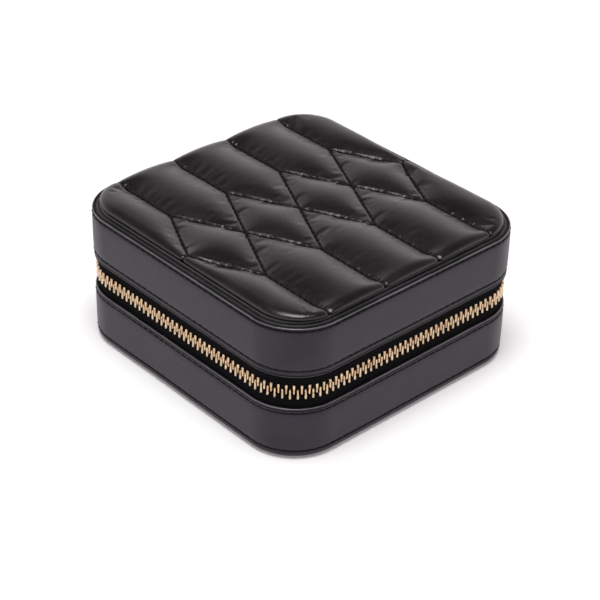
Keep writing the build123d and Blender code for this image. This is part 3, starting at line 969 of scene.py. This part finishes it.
TOOTH_PITCH = 2.43 * MM
TOOTH_DEPTH = 2.2 * MM
LEG_HALF_W = 0.52 * MM
HEAD_HALF_W = 0.44 * MM
CHAIN_START = (HALF_X - CORNER_R) + (CORNER_R - CHAIN_INSET) * math.radians(46)
CHAIN_END_PLAY = 0.3 * MM
TOOTH_LEAN = 0.03
LEG_TOP = -1.2
BEAD_R = 0.62 * MM
BEAD_LEVEL = 1.75 * MM
BEAD_FROM_CORNER = 6.0 * MM
TEETH = {"lower": ("lower_zip_teeth", "lower_zip_teeth_slider_run", "base"),
         "upper": ("upper_zip_teeth", "upper_zip_teeth_slider_run", "lid")}


def tooth_shape():
    """One cast tooth as rings of (along, out, up): rounded leg, slimmer head, rounded ends."""
    stations = [(-2.75, 0.45), (-2.66, 0.80), (-2.45, 1.0), (-1.55, 1.0), (-1.15, 0.93),
                (-0.75, 0.9), (0.35, 0.9), (0.72, 0.80), (0.95, 0.55), (1.05, 0.22)]
    angles = np.linspace(0, 2 * math.pi, 15)[:-1]
    cos, sin = np.cos(angles), np.sin(angles)
    rings = []
    for level, size in stations:
        half_w = LEG_HALF_W if level < LEG_TOP else HEAD_HALF_W
        along = half_w * size * np.sign(cos) * np.abs(cos) ** 0.8
        out = TOOTH_DEPTH / 2 * size ** 0.6 * np.sign(sin) * np.abs(sin) ** 0.7
        rings.append(np.column_stack([along, out, np.full(len(angles), level * MM)]))
    return np.concatenate(rings), tube_faces(len(stations), len(angles))


def make_teeth(row, on_run):
    """One row's teeth, on the slider's straight run or on the rest of the chain."""
    rest_node, run_node, body = TEETH[row]
    node = run_node if on_run else rest_node
    end_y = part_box("lower_zip_teeth_slider_run")[1].y - HEAD_HALF_W
    turn_end = outline_length(CHAIN_INSET) - (HALF_X - CORNER_R)
    turn_end -= (CORNER_R - CHAIN_INSET) * math.pi / 2
    run_start = turn_end - 2 * (HALF_Y - CORNER_R)
    end = run_start + HALF_Y - CORNER_R + end_y
    offset = 0.0 if row == "lower" else TOOTH_PITCH / 2
    places = np.arange(CHAIN_START + offset, end + CHAIN_END_PLAY, TOOTH_PITCH)
    places = places[(places > run_start) == on_run]
    points, normals, tangents = on_outline(places, CHAIN_INSET)
    shape, tooth_faces = tooth_shape()
    up = 1 if row == "lower" else -1
    random = np.random.default_rng(4)
    verts, faces = [], []
    for number, (point, normal, tangent) in enumerate(zip(points, normals, tangents)):
        lean = random.uniform(-TOOTH_LEAN, TOOTH_LEAN)
        along = shape[:, :1] * up + shape[:, 2:] * lean
        xy = point + tangent * along + normal * shape[:, 1:2]
        verts.append(np.column_stack([xy, ZIP_Z + shape[:, 2] * up]))
        faces += [[i + number * len(shape) for i in face] for face in tooth_faces]
    make_piece(node + "_cast", np.concatenate(verts), faces, BRASS, body, [node], 60)


def make_tape_bead(name, level, body):
    """Corded edge that a row of teeth is clamped on."""
    profile = arc_points((CHAIN_INSET, level), BEAD_R, 0, 360, 11)[:-1]
    start = HALF_X - CORNER_R + BEAD_FROM_CORNER
    span = (start, outline_length() - start)
    verts, faces = sweep_ring(profile, 0.8 * MM, span=span)
    make_piece(name, verts, faces, ZIP_TAPE, body)


FLAT_ANGLE = 0.01
SHARP_ANGLE = 0.6


def soften(node, width, material, body, segments=3):
    """A copy of a CAD node with its sharp edges rounded, standing in for it."""
    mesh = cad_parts[node].data.copy()
    work = bmesh.new()
    work.from_mesh(mesh)
    work.transform(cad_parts[node].matrix_world)
    bmesh.ops.remove_doubles(work, verts=work.verts, dist=1e-6)
    bmesh.ops.dissolve_limit(work, angle_limit=FLAT_ANGLE, verts=work.verts, edges=work.edges)
    inner = [edge for edge in work.edges if len(edge.link_faces) == 2]
    sharp = [edge for edge in inner if edge.calc_face_angle(0) > SHARP_ANGLE]
    bmesh.ops.bevel(work, geom=sharp, offset=width, segments=segments, profile=0.5,
                    affect="EDGES", clamp_overlap=True)
    bmesh.ops.triangulate(work, faces=[f for f in work.faces if len(f.verts) > 4])
    work.to_mesh(mesh)
    work.free()
    mesh.materials.clear()
    mesh.materials.append(material)
    for attribute in [a.name for a in mesh.attributes if a.name == "custom_normal"]:
        mesh.attributes.remove(mesh.attributes[attribute])
    finish_shading(mesh, 35)
    piece = place_object(node + "_finished", mesh)
    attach(piece, body)
    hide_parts(node)
    return piece


for row in TEETH:
    for on_run in (False, True):
        make_teeth(row, on_run)
make_tape_bead("lower_tape_bead", ZIP_Z - BEAD_LEVEL, "base")
make_tape_bead("upper_tape_bead", ZIP_Z + BEAD_LEVEL, "lid")
soften("zip_slider", 0.16 * MM, PULL_METAL, "slider")
soften("zip_pull_tab", 0.22 * MM, PULL_METAL, "pull")
soften("zip_pull_pin", 0.08 * MM, STEEL, "slider")
soften("lower_top_stop", 0.2 * MM, BRASS, "base")
soften("upper_top_stop", 0.2 * MM, BRASS, "lid")
soften("zip_bottom_stop", 0.2 * MM, BRASS, "base")


# --- hinge strip behind the zip's ends

STRIP_COLUMNS = 73
STRIP_ROWS = 57
STRIP_BULGE = 0.35 * MM
STRIP_CREASE = 0.10 * MM
STRIP_BEND = 4.5 * MM


def make_hinge_strip():
    """One strip of leather sewn into both halves across the back, for the lid to swing on."""
    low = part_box("lower_hinge_leather")[0]
    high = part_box("upper_hinge_leather")[1]
    columns = np.linspace(-high.x, high.x, STRIP_COLUMNS)
    rows = np.linspace(low.z, high.z, STRIP_ROWS)
    x, z = np.meshgrid(columns, rows, indexing="ij")
    free = np.clip((z - BASE_EDGE) * (LID_EDGE - z) / ((LID_EDGE - BASE_EDGE) / 2) ** 2, 0, 1)
    crease = STRIP_CREASE * np.sin(x / (2.6 * MM) + 1.3 * np.sin(z / (2.5 * MM))) * free
    bulge = STRIP_BULGE * free + crease
    outer = np.stack([x, high.y + bulge, z], 2).reshape(-1, 3)
    inner = np.stack([x, low.y + bulge, z], 2).reshape(-1, 3)
    count = len(rows)
    sheet = ring_faces(len(columns), count, closed_rows=False, closed_columns=False)
    total = len(outer)
    faces = sheet.tolist() + (sheet[:, ::-1] + total).tolist()
    rim = [i * count for i in range(len(columns))]
    rim += [(len(columns) - 1) * count + j for j in range(1, count)]
    rim += [i * count + count - 1 for i in range(len(columns) - 2, -1, -1)]
    rim += [j for j in range(count - 2, 0, -1)]
    faces += [[a, b, b + total, a + total] for a, b in zip(rim, rim[1:] + rim[:1])]
    piece = make_piece("hinge_strip", np.concatenate([outer, inner]), faces, SIDE_LEATHER, None,
                       ["lower_hinge_leather", "upper_hinge_leather"])
    middle_y = (low.y + high.y) / 2
    start, end = (0, middle_y, ZIP_Z - STRIP_BEND), (0, middle_y, ZIP_Z + STRIP_BEND)
    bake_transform(piece, "base", "lid", start, end)


make_hinge_strip()


# --- inside

LINING_EDGE_R = 0.42 * MM
ROLL_FOOT_R = 1.5 * MM
ROLL_END_L = 2.2 * MM
ROLL_END_DRAW = 0.16
ROLL_SIDE_DRAW = 0.985
ROLL_GATHER = 0.22 * MM
ROLL_SLACK = 0.10 * MM
ROLL_SET_IN = 0.12 * MM


def make_lining(node, body):
    """Wall lining whose fabric is turned over the board's edges."""
    low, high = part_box(node)
    inner = HALF_X - high.x
    outer = inner + LINING_T
    round_r = LINING_EDGE_R
    profile = arc_points((inner + round_r, high.z - round_r), round_r, 180, 90, 5)
    profile += arc_points((outer - round_r, high.z - round_r), round_r, 90, 0, 5)
    profile += line_points((outer, high.z - round_r), (outer, low.z + round_r), 2 * MM)[1:]
    profile += arc_points((outer - round_r, low.z + round_r), round_r, 0, -90, 5)
    profile += arc_points((inner + round_r, low.z + round_r), round_r, -90, -180, 5)
    profile += line_points((inner, low.z + round_r), (inner, high.z - round_r), 5 * MM)[1:]

    def shape(s, inset, z):
        face = (inset > outer - 0.1 * MM).astype(float)
        return -ripple(s, z, 31, 0.07 * MM, 30 * MM) * face, np.zeros_like(z)

    verts, faces = sweep_ring(profile, 1.0 * MM, shape)
    make_piece(node + "_covered", verts, faces, LINING, body, [node])


def make_roll(number):
    """One soft ring roll: fabric round a foam core, gathered a little at its ends."""
    node = f"ring_roll_{number}"
    low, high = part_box(node)
    half_w = (high.y - low.y) / 2
    middle_y = (high.y + low.y) / 2
    length = high.x - low.x
    straight = high.z - half_w
    foot = low.z + ROLL_FOOT_R
    side = half_w * ROLL_SIDE_DRAW
    profile = [(-half_w + ROLL_FOOT_R, low.z), (half_w - ROLL_FOOT_R, low.z)]
    profile += [(side, foot + (straight - foot) * i / 6) for i in range(6)]
    profile += arc_points((0, straight), half_w, 0, 180, 25)
    profile += [(-side, straight - (straight - foot) * i / 6) for i in range(1, 7)]
    profile = np.array(profile)
    centre = np.array([0.0, low.z + (high.z - low.z) * 0.45])
    ends = 1 - np.linspace(0, 1, 9) ** 0.5
    inward = np.concatenate([ends[:-1], np.zeros(38), ends[::-1][1:]])
    near_end = np.linspace(0, ROLL_END_L, 9)[:-1]
    middle = np.linspace(ROLL_END_L, length - ROLL_END_L, 38)
    places = np.concatenate([near_end, middle, length - near_end[::-1]])
    random = np.random.default_rng(number)
    phases = random.uniform(0, 2 * math.pi, 6)
    verts = []
    around = np.linspace(0, 2 * math.pi, len(profile), endpoint=False)
    for place, end in zip(places, inward):
        near = math.exp(-min(place, length - place) / (5 * MM))
        gather = ROLL_GATHER * near * np.sin(9 * around + phases[0]) * np.sin(around / 2)
        slack = ROLL_SLACK * np.sin(place / (7 * MM) + phases[1] + 2 * np.sin(around + phases[2]))
        ring = centre + (profile - centre) * (1 - ROLL_END_DRAW * end)
        lift = np.clip((ring[:, 1] - low.z) / (3 * MM), 0, 1)
        ring = ring + unit(ring - centre) * ((gather + slack - ROLL_SET_IN) * lift)[:, None]
        ring[:, 0] = np.clip(ring[:, 0], -half_w, half_w)
        ring[:, 1] = np.clip(ring[:, 1], low.z, high.z)
        x = np.full(len(ring), low.x + place)
        verts.append(np.column_stack([x, middle_y + ring[:, 0], ring[:, 1]]))
    faces = tube_faces(len(places), len(profile))
    piece = make_piece(node + "_soft", np.concatenate(verts), faces, ROLL_FABRIC, "base",
                       [node], 70)


make_lining("base_wall_lining", "base")
make_lining("lid_wall_lining", "lid")
for roll_number in range(1, 8):
    make_roll(roll_number)
for divider in ("long", "front", "rear"):
    soften("compartment_divider_" + divider, 0.6 * MM, LINING, "base", 4)
soften("mirror_surround", 0.8 * MM, LINING, "lid", 4)
soften("mirror", 0.15 * MM, MIRROR, "lid", 1)


# --- CAD pieces shown as they are


def finish_node(node, material):
    """Give a CAD node that is shown as it is a procedural material."""
    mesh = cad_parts[node].data
    mesh.materials.clear()
    mesh.materials.append(material)


for material, slot, nodes in (
    (ZIP_TAPE, "zip_tape", ("lower_zip_tape", "upper_zip_tape")),
    (SIDE_LEATHER, "side_leather", ("base_underside",)),
    (CARD, "board", ("base_filler_card", "base_board", "base_frame", "lid_frame", "lid_board")),
    (LINING, "lining", ("base_floor_lining", "lid_top_lining")),
):
    for node in nodes:
        finish_node(node, material)


# --- floor, light and camera

CAMERA_AZIMUTH = math.radians(-42.7)
CAMERA_ELEVATION = math.radians(33.05)
CAMERA_ROLL = math.radians(1.25)
CAMERA_DISTANCE = 617.9 * MM
CAMERA_TARGET = Vector((-7.71, -9.12, 22.91)) * MM
CAMERA_LENS = 106.0
FLOOR_HALF = 4.0
FLOOR_GLOW = (0.10, 0.85)
GLOW_RISE = 2.5
SOFTBOX_PLACE = Vector((-0.16, -0.10, 1.20))
SOFTBOX_SIZE = 0.55
SOFTBOX_POWER = 12.0


def make_camera():
    """The camera at the case's front left, looking down on it."""
    data = bpy.data.cameras.new("camera")
    data.lens = CAMERA_LENS
    data.sensor_width = 36.0
    data.clip_start = 0.01
    camera = place_object("camera", data)
    a, e, r = CAMERA_AZIMUTH, CAMERA_ELEVATION, CAMERA_ROLL
    back = Vector((math.sin(a) * math.cos(e), -math.cos(a) * math.cos(e), math.sin(e)))
    right = Vector((math.cos(a), math.sin(a), 0))
    up = back.cross(right)
    right, up = right * math.cos(r) + up * math.sin(r), up * math.cos(r) - right * math.sin(r)
    turn = Matrix((right, up, back)).transposed().to_4x4()
    camera.matrix_world = Matrix.Translation(CAMERA_TARGET + back * CAMERA_DISTANCE) @ turn
    bpy.context.scene.camera = camera


def make_floor():
    """Plain white floor, which glows more with distance so that it meets the surroundings."""
    mesh = bpy.data.meshes.new("floor")
    half = FLOOR_HALF
    corners = [(-half, -half, 0), (half, -half, 0), (half, half, 0), (-half, half, 0)]
    mesh.from_pydata(corners, [], [(0, 1, 2, 3)])
    material, tree, shader, where = new_material("floor_white", (0.92, 0.92, 0.92), 0.7,
                                                 Emission_Color=(1.0, 1.0, 1.0, 1.0))
    distance = add_node(tree, "ShaderNodeVectorMath", operation="LENGTH")
    tree.links.new(where, distance.inputs[0])
    far = mathematics(tree, "POWER", distance.outputs["Value"], GLOW_RISE)
    tree.links.new(spread(tree, far, *FLOOR_GLOW), shader.inputs["Emission Strength"])
    mesh.materials.append(material)
    floor = place_object("floor", mesh)


def make_softbox():
    """A square soft box overhead, aimed at the case."""
    data = bpy.data.lights.new("overhead_softbox", "AREA")
    data.shape = "RECTANGLE"
    data.size = data.size_y = SOFTBOX_SIZE
    data.energy = SOFTBOX_POWER
    light = place_object("overhead_softbox", data)
    light.location = SOFTBOX_PLACE
    light.rotation_euler = (-SOFTBOX_PLACE).to_track_quat("-Z", "Y").to_euler()


def make_world():
    """White surroundings, bright at the horizon and dim overhead."""
    world = bpy.data.worlds.new("studio")
    bpy.context.scene.world = world
    world.use_nodes = True
    tree = world.node_tree
    where = add_node(tree, "ShaderNodeTexCoord").outputs["Generated"]
    split = add_node(tree, "ShaderNodeSeparateXYZ")
    tree.links.new(where, split.inputs["Vector"])
    levels = ((0.0, 1.30), (0.2, 1.12), (0.44, 0.96), (0.56, 0.49), (0.76, 0.14), (1.0, 0.10))
    tint = np.array([1.03, 0.96, 1.0])
    stops = ((place, tuple(level * tint)) for place, level in levels)
    tree.links.new(ramp(tree, split.outputs["Z"], *stops),
                   tree.nodes["Background"].inputs["Color"])


make_camera()
make_floor()
make_world()
make_softbox()
bpy.context.scene.view_settings.view_transform = "Standard"
